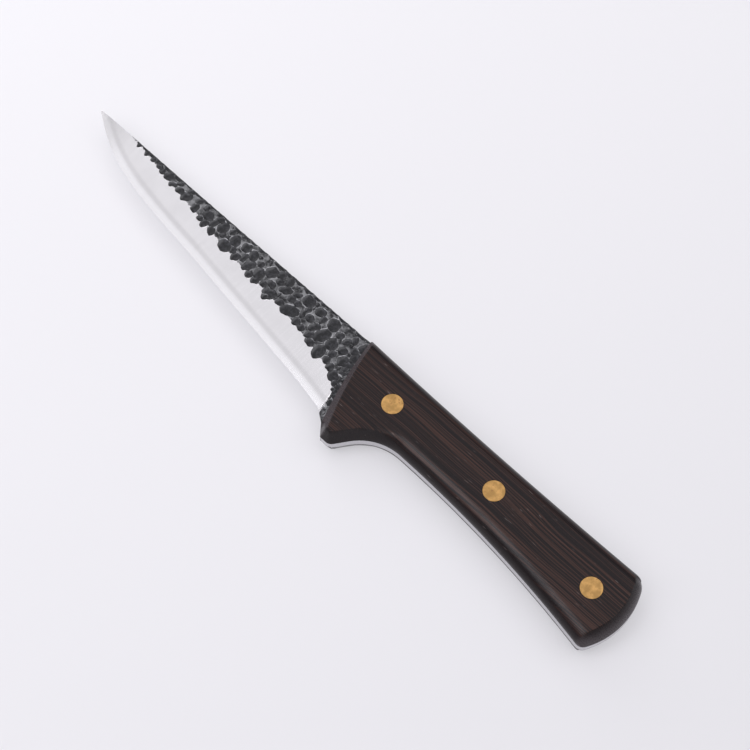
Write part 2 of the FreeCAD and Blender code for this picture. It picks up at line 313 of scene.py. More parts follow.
def round_corner(path, corner, reach, steps=14):
    """Replace the path within reach of a corner with an arc-like curve."""
    corner = np.array(corner, float)
    gap = np.hypot(*(path - corner).T)
    near = np.nonzero(gap < reach)[0]
    first, last = near[0], near[-1]
    start, end = path[max(first - 1, 0)], path[min(last + 1, len(path) - 1)]
    t = np.linspace(0, 1, steps + 1)[:, None]
    bend = (1 - t) ** 2 * start + 2 * t * (1 - t) * corner + t ** 2 * end
    return np.vstack([path[:first], bend, path[last + 1:]])


def resample(path, fractions):
    """Points at the given fractions of a path's length."""
    steps = np.hypot(*np.diff(path, axis=0).T)
    travelled = np.concatenate([[0], np.cumsum(steps)])
    travelled /= travelled[-1]
    return np.column_stack([np.interp(fractions, travelled, path[:, 0]),
                            np.interp(fractions, travelled, path[:, 1])])


# The handle's corners, how far each side stands out from its chord or, below zero, bites into
# it, and how far each rounded corner reaches along its sides.
FRONT_HIGH = (0.0, 0.0)
GUARD_CUT_ABOVE = (10.55, -37.96)
GUARD_CUT_BEHIND = (12.6, -40.3)
GUARD_BACK = (17.1, -40.3)
GROOVE_START = (21.3, -34.3)
GROOVE_END = (38.5, -25.4)
BUTT_LOW = (131.5, -34.2)
BUTT_HIGH = (131.5, -0.8)
FRONT_BULGE = 1.1
GROOVE_BULGE = -2.4
GRIP_BULGE = -2.2
BUTT_BULGE = 5.0
BACK_BULGE = -0.9
GUARD_ROUNDING = 1.5
BUTT_LOW_ROUNDING = 2.2
BUTT_HIGH_ROUNDING = 3.0


def handle_sides():
    """The handle's four sides: back, belly, front and butt.

    The back and the belly run from front to butt, and the front and the butt from the spine down.
    """
    butt = bowed(BUTT_LOW, BUTT_HIGH, BUTT_BULGE)
    belly = join(bowed(GUARD_CUT_ABOVE, GUARD_CUT_BEHIND, STRAIGHT, 10),
                 bowed(GUARD_CUT_BEHIND, GUARD_BACK, STRAIGHT, 20),
                 bowed(GUARD_BACK, GROOVE_START, STRAIGHT, 20),
                 bowed(GROOVE_START, GROOVE_END, GROOVE_BULGE),
                 bowed(GROOVE_END, BUTT_LOW, GRIP_BULGE, 160))
    back = bowed(BUTT_HIGH, FRONT_HIGH, BACK_BULGE, 200)
    ring = join(belly, butt, back)
    ring = round_corner(ring, GUARD_BACK, GUARD_ROUNDING)
    ring = round_corner(ring, BUTT_LOW, BUTT_LOW_ROUNDING)
    ring = round_corner(ring, BUTT_HIGH, BUTT_HIGH_ROUNDING)
    low = np.argmin(np.hypot(*(ring - BUTT_LOW).T))
    high = np.argmin(np.hypot(*(ring - BUTT_HIGH).T))
    front = bowed(FRONT_HIGH, GUARD_CUT_ABOVE, FRONT_BULGE, 40)
    return ring[high:][::-1], ring[:low + 1], front, ring[low:high + 1][::-1]


def stretched(u, v, sides):
    """The point at u from front to butt and v from back to belly on the handle."""
    back, belly, front, butt = sides
    top, low = resample(back, u), resample(belly, u)
    left, right = resample(front, v), resample(butt, v)
    return ((1 - v)[:, None] * top + v[:, None] * low
            + (1 - u)[:, None] * left + u[:, None] * right
            - ((1 - u) * (1 - v))[:, None] * back[0] - (u * (1 - v))[:, None] * back[-1]
            - ((1 - u) * v)[:, None] * belly[0] - (u * v)[:, None] * belly[-1])


# The edge and the grind as smooth curves through a few points, from the tip to the heel.
EDGE_X = (-152.0, -142.0, -132.0, -118.5, -105.0, -78.0, -51.0, -24.0, -9.0, 3.0)
EDGE_Y = (-0.55, -6.5, -11.0, -14.9, -17.3, -20.6, -24.2, -27.7, -29.8, -32.0)
GRIND_X = (-152.0, -131.5, -120.0, -110.0, -100.0, -90.0, -75.0, -60.0, -45.0, -30.0, -15.0, 0.0)
GRIND_Y = (1.6, 0.3, -1.3, -3.1, -4.7, -6.3, -8.6, -10.4, -11.8, -13.5, -16.2, -19.6)
HEEL = (3.0, -32.0)
CHOIL_END = (8.4, -35.5)
PLUNGE_TOP = -2.2
PLUNGE_LEAN = 0.195
TANG_LEAN = 0.26
FRONT_LEAN = 0.2779


def edge_line(x):
    """Height of the cutting edge, and of the choil behind the heel."""
    behind = np.clip((x - HEEL[0]) / (CHOIL_END[0] - HEEL[0]), 0, 1)
    return np.where(x <= HEEL[0], soft_curve(x, EDGE_X, EDGE_Y),
                    HEEL[1] + behind * (CHOIL_END[1] - HEEL[1]))


def grind_line(x):
    """Height at which the ground bevel meets the forged flat."""
    return soft_curve(np.clip(x, GRIND_X[0], GRIND_X[-1]), GRIND_X, GRIND_Y)


# ----------------------------------------------------------------------------- the forged blade

def ripples(rng, wavelength, count=7):
    """A smooth random ripple over the blade, between about -1 and 1."""
    turns = rng.uniform(0, 2 * math.pi, count)
    starts = rng.uniform(0, 2 * math.pi, count)
    waves = wavelength * rng.uniform(0.6, 1.6, count)

    def ripple(x, y):
        total = 0.0
        for turn, start, wave in zip(turns, starts, waves):
            total = total + np.sin(
                (x * math.cos(turn) + y * math.sin(turn)) * 2 * math.pi / wave + start)
        return total * 1.6 / count
    return ripple


class Strikes:
    """The hammer's strikes on one side of the blade.

    A strike is an oval hollow: its centre, half its length and width, its turn and its depth.
    """
    SPINE_ROW_START = -127.5
    SPINE_ROW_END = -4.0
    BAND_START = -130.0
    BAND_END = 0.5
    FULL_TRIES = 3600
    SMALL_TRIES = 500
    SMALL_SHARE = 0.55
    TRIES_BY_HANDLE = 30
    LONE_STRIKE = (-43.8, -13.9, 1.7, 1.6)
    WARP = 0.34
    OUTSIDE = -0.6

    def __init__(self, seed, steel):
        rng = np.random.default_rng(seed)
        self.warp_x = ripples(rng, 3.6)
        self.warp_y = ripples(rng, 3.2)
        self.skin = ripples(rng, 1.5, 12)
        depth = steel.hollow_depth / MM
        small, large = steel.small_hollow / MM, steel.large_hollow / MM
        self.strikes = []
        self.place_spine_row(rng, depth)
        self.place_band(rng, depth, small, large)
        self.place_by_handle(rng, depth)

    def place_spine_row(self, rng, depth):
        """Long hollows where the hammer rolled over the corner of the spine."""
        x = self.SPINE_ROW_START
        while x < self.SPINE_ROW_END:
            half = rng.uniform(1.6, 3.2)
            x += half
            thick = rng.uniform(0.8, 1.5)
            self.strikes.append((x, -rng.uniform(0.0, 0.6), half, thick,
                                 rng.normal(0.0, 0.08), depth * rng.uniform(0.7, 1.0)))
            x += half * rng.uniform(0.85, 1.25)

    def place_band(self, rng, depth, small, large):
        """Strikes between the spine and the grind: large ones first, then small in the gaps."""
        for attempt in range(self.FULL_TRIES + self.SMALL_TRIES):
            filling = attempt > self.FULL_TRIES
            x = rng.uniform(self.BAND_START, self.BAND_END)
            floor = grind_line(np.array([x]))[0]
            reach = blend_in(x, -136.0, -88.0)
            radius = small + (large - small) * reach * rng.uniform(0.25, 1.0) ** 1.3
            if filling:
                radius *= self.SMALL_SHARE
            y = -0.9 + min(floor, 0.0) * rng.uniform(0.0, 1.0)
            spread = 0.94 if filling else 0.84
            clear = all(
                (x - other[0]) ** 2 + (y - other[1]) ** 2
                > (spread * (radius + math.sqrt(other[2] * other[3]))) ** 2
                for other in self.strikes)
            if clear:
                longer = rng.uniform(1.0, 1.4)
                self.strikes.append((x, y, radius * longer, radius / longer ** 0.5,
                                     rng.uniform(0, math.pi), depth * rng.uniform(0.75, 1.15)))

    def place_by_handle(self, rng, depth):
        """Small close strikes in the corner between the grind and the handle."""
        for attempt in range(self.TRIES_BY_HANDLE):
            t = rng.uniform(0.35, 1.0)
            x = t * 7.8 - rng.uniform(0.4, 4.4)
            y = -t * 33.5
            radius = rng.uniform(0.8, 1.7)
            self.strikes.append((x, y, radius * 1.3, radius, rng.uniform(0, math.pi),
                                 depth * rng.uniform(0.5, 1.0)))
        self.strikes.append((*self.LONE_STRIKE, 0.0, depth * 1.5))

    def levels(self, x, y):
        """Depth of the deepest hollow at each point, below zero outside, and of the next one."""
        bent_x = x + self.WARP * self.warp_x(x, y)
        bent_y = y + self.WARP * self.warp_y(x, y)
        first = np.full(x.shape, self.OUTSIDE)
        second = np.full(x.shape, self.OUTSIDE)
        for centre_x, centre_y, half_long, half_wide, turn, depth in self.strikes:
            near = np.abs(x - centre_x) < half_long * 1.9 + 1.0
            dx, dy = bent_x[near] - centre_x, bent_y[near] - centre_y
            u = (dx * math.cos(turn) + dy * math.sin(turn)) / half_long
            w = (dy * math.cos(turn) - dx * math.sin(turn)) / half_wide
            here = depth * (1 - (u * u + w * w))
            here = np.where(here > 0, depth * (1 - (1 - here / depth) ** 1.5), here)
            second[near] = np.maximum(second[near], np.minimum(first[near], here))
            first[near] = np.maximum(first[near], here)
        return first, second


# Half the bevel's thickness if it ran straight to the edge, and what the convex band takes off.
BEVEL_AT_EDGE = 0.31
EDGE_BAND_DROP = 0.17
SKIN_ROUGHNESS = 0.018
PLUNGE_RISE = 0.9


def blade_surface(x, y, strikes, steel):
    """Half thickness of the steel and what its skin is like, at points of one side."""
    along = np.clip(-x / BLADE_LENGTH, 0, 1)
    flat = HALF_SPINE_AT_HANDLE + (HALF_SPINE_AT_TIP - HALF_SPINE_AT_HANDLE) * along
    first, second = strikes.levels(x, y)
    spine_fade = 1.0 - 0.5 * blend_in(x, -100.0, -135.0)
    skin = SKIN_ROUGHNESS * (1 + strikes.skin(x, y))
    hammered = flat - np.maximum(first, 0.0) * spine_fade - skin

    ground_top, edge = grind_line(x), edge_line(x)
    above_edge = y - edge
    width = np.maximum(ground_top - edge, 0.8)
    bevel = BEVEL_AT_EDGE + (flat - BEVEL_AT_EDGE) * above_edge / width
    band = steel.edge_band / MM
    short = np.clip(band - above_edge, 0.0, band)
    bevel = bevel - EDGE_BAND_DROP * (short / band) ** 1.4
    past_plunge = x - PLUNGE_TOP + PLUNGE_LEAN * y
    bevel = bevel + PLUNGE_RISE * np.maximum(past_plunge, 0.0) ** 1.3
    bevel = np.minimum(bevel, flat + 0.5)

    margin = hammered - bevel
    half = np.minimum(hammered, bevel)
    in_tang = blend_in(x + TANG_LEAN * y, -0.2, 0.4)
    half = half * (1 - in_tang) + HALF_TANG * in_tang
    rim = np.where(first > 0, np.minimum(first, first - np.maximum(second, 0)), -first)
    return half, first, rim, margin, above_edge


STRIKES_START = -132.0
LEAN_START = -60.0
HEEL_STATION = -3.7
UNDER_ROWS = 55
TOP_ROWS = 2 * UNDER_ROWS - 1
SPINE_CROWN = 0.16


def blade_stations():
    """Where each cross line starts on the spine and ends on the edge."""
    spine = np.concatenate([np.linspace(-BLADE_LENGTH, STRIKES_START, 24, endpoint=False),
                            np.linspace(STRIKES_START, HEEL_STATION, 470, endpoint=False),
                            np.linspace(HEEL_STATION, 0.0, 18)])
    edge = np.interp(spine, [-BLADE_LENGTH, LEAN_START, HEEL_STATION, 0.0],
                     [-BLADE_LENGTH, LEAN_START, HEEL[0], CHOIL_END[0]])
    return spine, edge


def cross_line(rows, spine_x, edge_x):
    """Points from the edge up to the spine, close together over the hammered band."""
    edge_y = edge_line(np.array([edge_x]))[0]
    band = np.clip((grind_line(np.array([spine_x]))[0] - 4.2) / edge_y, 0.25, 0.80)
    t = np.linspace(0, 1, rows)
    up = np.interp(t, [0.0, 0.06, 0.22, 1.0], [1.0, 1.0 - 0.35 * (1 - band), band, 0.0])
    return np.column_stack([spine_x + (edge_x - spine_x) * up, edge_y * up])


def tang_line(rows, u, sides):
    """Points across the tang from its lower side up to its back."""
    v = np.linspace(1, 0, rows)
    return stretched(np.full(rows, u), v, sides)


def blade_ring(upper, under, half_upper, half_under, crown):
    """One closed ring round the steel: up the left face, over the spine and down the right."""
    left = np.column_stack([upper, half_upper])
    right = np.column_stack([under, -half_under])[::-1]
    top = left[-1]
    down = right[0]
    over = []
    for t in (0.2, 0.5, 0.8):
        point = top * (1 - t) + down * t
        point[1] = min(point[1] + crown * math.sin(math.pi * t), 0.0)
        over.append(point)
    return np.vstack([left, over, right])


def forge_blade(steel):
    """The blade and its tang: a sheet rolled into rings from the tip to the butt."""
    upper_strikes, under_strikes = Strikes(11, steel), Strikes(29, steel)
    spine, edge = blade_stations()
    sides = handle_sides()
    upper = [cross_line(TOP_ROWS, s, e) for s, e in zip(spine, edge)]
    under = [cross_line(UNDER_ROWS, s, e) for s, e in zip(spine, edge)]
    blade_count = len(upper)
    top_xy, low_xy = np.vstack(upper), np.vstack(under)
    half_top = blade_surface(top_xy[:, 0], top_xy[:, 1], upper_strikes, steel)[0]
    half_low = blade_surface(low_xy[:, 0], low_xy[:, 1], under_strikes, steel)[0]
    half_top = half_top.reshape(blade_count, TOP_ROWS)
    half_low = half_low.reshape(blade_count, UNDER_ROWS)
    rings = []
    for i in range(blade_count):
        left, right = upper[i].copy(), under[i].copy()
        left[-1, 1] -= SPINE_CROWN
        right[-1, 1] -= SPINE_CROWN
        rings.append(blade_ring(left, right, half_top[i], half_low[i], SPINE_CROWN))
    for u in np.concatenate([np.linspace(0.0, 0.3, 24), np.linspace(0.3, 0.96, 22)[1:],
                             np.linspace(0.96, 1.0, 6)[1:]]):
        left, right = tang_line(TOP_ROWS, u, sides), tang_line(UNDER_ROWS, u, sides)
        rings.append(blade_ring(left, right, np.full(TOP_ROWS, HALF_TANG),
                                np.full(UNDER_ROWS, HALF_TANG), 0.0))
    rings = np.array(rings)
    closed = np.concatenate([rings, rings[:, :1]], axis=1)
    piece = add_sheet("forged_blade", closed)

    make_active(piece)
    bpy.ops.object.mode_set(mode="EDIT")
    bpy.ops.mesh.select_all(action="SELECT")
    bpy.ops.mesh.remove_doubles(threshold=0.000001)
    bpy.ops.object.mode_set(mode="OBJECT")
    close_ends(piece, rings[0], rings[-1])
    turn_outwards(piece)
    for which in RIVETS:
        drill(piece, add_rod(rivet_centre(which), PIN_BORE, -4.0, 4.0, 48))
    smooth_shading(piece, 38)
    describe_blade(piece.data, upper_strikes, under_strikes, steel)
    return piece


def close_ends(piece, *end_rings):
    """Close the tip and the butt: five-sided faces, since one side has twice the other's rows."""
    mesh = bmesh.new()
    mesh.from_mesh(piece.data)
    mesh.verts.ensure_lookup_table()
    places = {tuple(round(c * 1e7) for c in v.co): v for v in mesh.verts if v.is_boundary}
    for ring in end_rings:
        spots = to_frame(ring)
        verts = []
        for spot in spots.astype(np.float32):
            key = tuple(round(float(c) * 1e7) for c in spot)
            found = places.get(key)
            if found is None:
                found = min(places.values(), key=lambda v: (v.co - Vector(spot)).length)
            verts.append(found)
        left = verts[:TOP_ROWS]
        over = verts[TOP_ROWS:TOP_ROWS + 3]
        right = verts[TOP_ROWS + 3:][::-1]
        for k in range(UNDER_ROWS - 1):
            new_face(mesh, [left[2 * k], left[2 * k + 1], left[2 * k + 2],
                            right[k + 1], right[k]])
        new_face(mesh, [left[-1], *over, right[-1]])
    mesh.to_mesh(piece.data)
    mesh.free()


def new_face(mesh, corners):
    """Add a face, unless its corners fall together or it's there already."""
    kept = []
    for corner in corners:
        if corner not in kept:
            kept.append(corner)
    if len(kept) > 2 and mesh.faces.get(kept) is None:
        mesh.faces.new(kept)


def describe_blade(mesh, upper_strikes, under_strikes, steel):
    """Tell the steel's material where the hollows, their rims and the polish are."""
    points = to_knife(mesh)
    x, y, upper = points[:, 0], points[:, 1], points[:, 2] > 0
    readings = []
    for strikes in (upper_strikes, under_strikes):
        readings.append(blade_surface(x, y, strikes, steel))
    first, rim, margin, above = (np.where(upper, a, b) for a, b in
                                 zip(readings[0][1:], readings[1][1:]))
    front = x + FRONT_LEAN * y
    blade = front < 0.35
    spine = (y > -0.12) & blade
    first = np.where(spine, 0.10, first)
    margin = np.where(spine & (x > -131.0), -0.2, margin)
    store(mesh, "hollow", first)
    store(mesh, "rim", rim)
    store(mesh, "ground", np.where(blade, margin, 0.5))
    store(mesh, "above_edge", np.where(blade, above, -5.0))
    # How far the surface faces the tip, which the material uses to paint highlights on the hollows
    # and their rims.
    store(mesh, "to_tip", -vertex_values(mesh, "normal")[:, 0])


# ---------------------------------------------------------------------------- the wooden scales

BUTT_SLOPE = 1.3
CHAMFER_SLOPE = 0.8
BACK_SHARE = 0.93
GROOVE_FADE = (19.0, 40.0)


def wood_height(y, gaps, groove, wood):
    """How far the scale's face stands off the middle of the steel.

    The gaps are the distances to the back, the belly, the front and the butt.
    """
    back_gap, belly_gap, front_gap, butt_gap = gaps
    grip, lean = wood.grip_roundover / MM, wood.guard_lean / MM
    full = SCALE_FACE - HALF_TANG
    leaning = full * eased(1 - belly_gap / lean)
    drop = leaning * (1 - groove) + shoulder(belly_gap, grip) * groove
    drop = np.maximum(drop, shoulder(back_gap, BACK_SHARE * grip))
    reach = wood.butt_roundover / MM
    inside = np.clip(1 - butt_gap / reach, 0.0, 1.0)
    first_fall = BUTT_SLOPE * reach
    drop = np.maximum(drop, first_fall * inside + (full - 0.1 - first_fall) * inside ** 5)
    chamfer = np.maximum(front_chamfer(y, wood) - front_gap, 0.0) * CHAMFER_SLOPE
    return SCALE_FACE - np.maximum(drop, chamfer)


def front_chamfer(y, wood):
    """Width of the bevel along the scale's front, which widens towards the guard."""
    start, end = wood.chamfer_at_spine / MM, wood.chamfer_at_guard / MM
    return start + (end - start) * np.clip(-y / 38.0, 0, 1) ** 1.4


def describe_scale(mesh, wood):
    """Store how flat the wood lies at each point, and where its end bevels are."""
    points = to_knife(mesh)
    store(mesh, "flatness", np.abs(vertex_values(mesh, "normal")[:, 2]))
    front_gap, butt_gap = (gap_to(points[:, :2], side) for side in handle_sides()[2:])
    front = blend_in(front_chamfer(points[:, 1], wood) - front_gap, 0.0, 0.2)
    reach = wood.butt_roundover / MM
    butt = blend_in(butt_gap, 0.9 * reach, 0.1 * reach)
    # Where the end bevels are; the material paints a sheen there.
    store(mesh, "end_bevel", np.maximum(front, butt))


def shoulder(gap, radius):
    """Drop of a rounded edge at a distance in from the side."""
    inside = np.clip(gap, 0.0, radius)
    return radius - np.sqrt(np.maximum(radius ** 2 - (radius - inside) ** 2, 0.0))


def eased(rise):
    """Zero below zero, then a straight rise that starts with a small rounding."""
    rise = np.clip(rise, 0.0, 1.0)
    return rise * blend_in(rise, -0.04, 0.12)


def crowded(radius_share, steps, middle):
    """Fractions from 0 to 1 that crowd at both ends as a quarter round does."""
    turn = np.linspace(0, math.pi / 2, steps + 1)
    low = radius_share * (1 - np.cos(turn))
    high = 1 - radius_share * (1 - np.cos(turn))
    between = np.linspace(low[-1], high[-1], middle + 2)[1:-1]
    return np.concatenate([low, between, high[::-1]])


def carve_scale(wood):
    """The left scale: a sheet laid over its face, walled down to the tang and bored."""
    sides = handle_sides()
    columns = np.concatenate([np.linspace(0, 0.03, 26, endpoint=False),
                              np.linspace(0.03, 0.34, 120, endpoint=False),
                              np.linspace(0.34, 0.972, 140, endpoint=False),
                              1 - 0.028 * (1 - np.sin(np.linspace(0, math.pi / 2, 26)))])
    grip = wood.grip_roundover / MM
    sheet = []
    for u in columns:
        ends = stretched(np.array([u, u]), np.array([0.0, 1.0]), sides)
        share_of_width = grip / np.hypot(*(ends[1] - ends[0]))
        v = crowded(share_of_width, 16, 32)
        spots = stretched(np.full(v.shape, u), v, sides)
        near_groove = blend_in(spots[:, 0], *GROOVE_FADE)
        gaps = [gap_to(spots, side) for side in sides]
        height = wood_height(spots[:, 1], gaps, near_groove, wood)
        sheet.append(np.column_stack([spots, height]))
    piece = add_sheet("left_scale_wood", np.array(sheet))

    make_active(piece)
    bpy.ops.object.mode_set(mode="EDIT")
    bpy.ops.mesh.select_mode(type="EDGE")
    bpy.ops.mesh.select_all(action="DESELECT")
    bpy.ops.mesh.select_non_manifold()
    bpy.ops.mesh.extrude_edges_move()
    seat = MIDDLE_Z + HALF_TANG * MM
    mesh = bmesh.from_edit_mesh(piece.data)
    for corner in mesh.verts:
        if corner.select:
            corner.co.z = seat
    bmesh.update_edit_mesh(piece.data)
    bpy.ops.mesh.edge_face_add()
    bpy.ops.object.mode_set(mode="OBJECT")
    turn_outwards(piece)
    for which in RIVETS:
        centre = rivet_centre(which)
        drill(piece, add_rod(centre, HEAD_BORE, SCALE_FACE - 2.0, SCALE_FACE + 1.0))
        drill(piece, add_rod(centre, PIN_BORE, 0.0, SCALE_FACE, 48))
    smooth_shading(piece, 35)
    describe_scale(piece.data, wood)
    return piece


def gap_to(points, path):
    """Distance from each point to a path."""
    start, end = path[:-1], path[1:]
    run = end - start
    size = np.maximum((run ** 2).sum(1), 1e-12)
    offset = points[:, None, :] - start[None]
    t = np.clip((offset * run[None]).sum(2) / size, 0, 1)
    nearest = start[None] + t[..., None] * run[None]
    return np.sqrt(((points[:, None, :] - nearest) ** 2).sum(2)).min(1)


def mirror_scale(piece):
    """The right scale: the left one's copy, turned over through the middle of the steel."""
    make_active(piece)
    bpy.ops.object.duplicate()
    other = bpy.context.object
    other.name = "right_scale_wood"
    other.data.name = "right_scale_wood"
    bpy.ops.object.mode_set(mode="EDIT")
    bpy.ops.mesh.select_all(action="SELECT")
    bpy.ops.transform.mirror(constraint_axis=(False, False, True))
    bpy.ops.object.mode_set(mode="OBJECT")
    points = to_knife(other.data)
    top = points[:, 2].max()
    points[:, 2] += -HALF_TANG - top
    other.data.vertices.foreach_set("co", to_frame(points).ravel())
    turn_outwards(other)
    smooth_shading(other, 35)
    return other


# ------------------------------------------------------------------------------- the materials

def shaded(tint, factor):
    """A tint made darker, or lighter with a factor above 1."""
    return tuple(part * factor for part in tint)


class Recipe:
    """A material's nodes, with short ways to add to them."""

    def __init__(self, name):
        self.material = bpy.data.materials.new(name)
        self.material.use_nodes = True
        self.tree = self.material.node_tree
        self.tree.nodes.clear()

    def add(self, kind, sockets=None, **settings):
        node = self.tree.nodes.new(kind)
        for setting, value in settings.items():
            setattr(node, setting, value)
        for socket, value in (sockets or {}).items():
            if isinstance(value, bpy.types.NodeSocket):
                self.tree.links.new(value, node.inputs[socket])
            else:
                node.inputs[socket].default_value = value
        return node

    def place(self):
        return self.add("ShaderNodeTexCoord").outputs["Object"]

    def noise(self, vector, per_metre, detail, roughness, turn=(0.0, 0.0, 0.0)):
        """Noise with its own number of waves per metre along each axis."""
        waves = per_metre if isinstance(per_metre, tuple) else (per_metre,) * 3
        stretched = self.add("ShaderNodeMapping", {
            "Vector": vector, "Scale": waves, "Rotation": turn}).outputs[0]
        return self.add("ShaderNodeTexNoise", {
            "Vector": stretched, "Scale": 1.0, "Detail": detail,
            "Roughness": roughness}).outputs["Fac"]

    def attribute(self, name):
        """A value that the mesh keeps for each vertex."""
        return self.add("ShaderNodeAttribute", attribute_name=name,
                        attribute_type="GEOMETRY").outputs["Fac"]

    def span(self, value, low, high, to_low=0.0, to_high=1.0, smooth=True):
        """The value's place between low and high, as a value between to_low and to_high."""
        return self.add("ShaderNodeMapRange", {
            "Value": value, "From Min": low, "From Max": high, "To Min": to_low,
            "To Max": to_high},
            interpolation_type="SMOOTHSTEP" if smooth else "LINEAR").outputs["Result"]

    def times(self, a, b):
        return self.add("ShaderNodeMath", {0: a, 1: b}, operation="MULTIPLY").outputs[0]

    def plus(self, a, b):
        return self.add("ShaderNodeMath", {0: a, 1: b}, operation="ADD").outputs[0]

    def blend(self, factor, a, b):
        """A colour that goes from a to b as the factor goes from 0 to 1."""
        node = self.add("ShaderNodeMix", data_type="RGBA")
        for socket, value in ((0, factor), (6, a), (7, b)):
            if isinstance(value, bpy.types.NodeSocket):
                self.tree.links.new(value, node.inputs[socket])
            elif socket == 0:
                node.inputs[socket].default_value = value
            else:
                node.inputs[socket].default_value = (*value, 1.0)
        return node.outputs[2]

    def bump(self, height, distance, strength):
        return self.add("ShaderNodeBump", {"Height": height, "Distance": distance,
                                           "Strength": strength}).outputs["Normal"]

    def shader(self, **sockets):
        return self.add("ShaderNodeBsdfPrincipled",
                        {name.replace("_", " "): value for name, value in sockets.items()}
                        ).outputs[0]

    def finish(self, shader):
        self.add("ShaderNodeOutputMaterial", {"Surface": shader})
        return self.material


# The colour of the painted highlight along the cutting edge, and of the tang's ground edge.
PAINTED_EDGE_HIGHLIGHT = (0.80, 0.79, 0.81)
TANG_EDGE = (0.56, 0.55, 0.57)


def steel_finish(steel):
    """Forge-black hollows with rubbed rims, and a bevel polished across its width; painted
    highlights on the hollow walls and rims that face the tip and along the edge, and painted shade
    in a band above the edge and towards the tip.
    """
    recipe = Recipe("hammered_steel")
    place = recipe.place()
    speckle = recipe.noise(place, 900.0, 4.0, 0.65)
    mottle = recipe.noise(place, 420.0, 5.0, 0.6)
    fine = recipe.noise(place, 2600.0, 3.0, 0.6)
    patches = recipe.noise(place, 230.0, 2.0, 0.5)
    hollow = recipe.attribute("hollow")
    rim = recipe.attribute("rim")
    to_tip = recipe.attribute("to_tip")

    inside = recipe.span(hollow, -0.01, 0.05)
    land = recipe.blend(recipe.span(mottle, 0.35, 0.68), steel.scale_black, steel.land_grey)
    floor_tone = shaded(steel.scale_black, 3.2)
    floor = recipe.blend(recipe.span(speckle, 0.42, 0.72), steel.scale_black, floor_tone)
    # Painted highlight: the walls of the hollows that face the tip are drawn lighter, as if they
    # caught the light from that side.
    painted_tip_glint = recipe.times(recipe.span(to_tip, 0.04, 0.34, 0.0, 0.6),
                           recipe.span(mottle, 0.3, 0.6, 0.4, 1.0))
    floor = recipe.blend(painted_tip_glint, floor, shaded(steel.land_grey, 0.6))
    skin = recipe.blend(inside, land, floor)
    # The rims are rubbed bright where polishing wore the high spots, which is real wear, and are
    # drawn brightest where they face the tip, which is a painted highlight.
    rubbed = recipe.times(recipe.span(rim, 0.085, 0.0), recipe.span(speckle, 0.30, 0.58))
    rubbed = recipe.times(rubbed, recipe.span(patches, 0.38, 0.60, 0.2, 1.0))
    rubbed = recipe.times(rubbed, recipe.span(to_tip, -0.22, 0.16, 0.3, 1.0))
    skin = recipe.blend(rubbed, skin, steel.ridge_grey)
    skin_rough = recipe.span(fine, 0.3, 0.7, 0.28, 0.48)
    skin_bump = recipe.bump(recipe.plus(speckle, fine), 0.00006, 0.5)
    forged = recipe.shader(Base_Color=skin, Metallic=recipe.span(rubbed, 0.0, 1.0, 0.5, 0.95),
                           Roughness=skin_rough, Specular_IOR_Level=0.5, Normal=skin_bump)

    across = recipe.noise(place, (3600.0, 90.0, 300.0), 2.0, 0.5)
    cloud = recipe.noise(place, (60.0, 110.0, 110.0), 3.0, 0.5)
    dull = shaded(steel.polished, 0.94)
    bright = recipe.blend(recipe.span(recipe.plus(across, cloud), 0.75, 1.3), dull,
                          steel.polished)
    above_edge = recipe.attribute("above_edge")
    # Painted shade: a soft darker band from about 2.4 to 5.6 mm above the cutting edge, standing
    # in for a dark reflection on the bevel.
    painted_dark_band = recipe.times(recipe.span(above_edge, 2.4, 3.6),
                          recipe.span(above_edge, 5.6, 3.9))
    bright = recipe.blend(recipe.times(painted_dark_band, 0.30), bright, shaded(steel.polished, 0.62))
    # Painted highlight: the band along the cutting edge, up to about 3 mm above it, is drawn
    # brighter.
    bright = recipe.blend(recipe.span(above_edge, 3.2, 1.6), bright, PAINTED_EDGE_HIGHLIGHT)
    # Painted shade: the polished bevel is drawn darker towards the tip, standing in for a dark
    # reflection there.
    near_tip = recipe.add("ShaderNodeSeparateXYZ", {"Vector": place}).outputs["X"]
    bright = recipe.blend(recipe.span(near_tip, -0.118, -0.140, 0.0, 0.55), bright,
                          shaded(steel.polished, 0.62))
    bright = recipe.blend(recipe.span(above_edge, -1.0, -3.0), bright, TANG_EDGE)
    low, high = steel.polish_roughness - 0.02, steel.polish_roughness + 0.03
    polish_rough = recipe.span(across, 0.3, 0.7, low, high)
    polish_bump = recipe.bump(across, 0.000003, 0.2)
    polished = recipe.shader(Base_Color=bright, Metallic=1.0, Roughness=polish_rough,
                             Normal=polish_bump)

    edge_grit = recipe.span(speckle, 0.3, 0.7, -0.010, 0.010)
    ground = recipe.span(recipe.plus(recipe.attribute("ground"), edge_grit), -0.006, 0.012)
    mixed = recipe.add("ShaderNodeMixShader", {0: ground, 1: forged, 2: polished}).outputs[0]
    return recipe.finish(mixed)


# The colour of the painted sheen on the front and butt bevels.
PAINTED_BEVEL_SHEEN = (0.058, 0.047, 0.052)


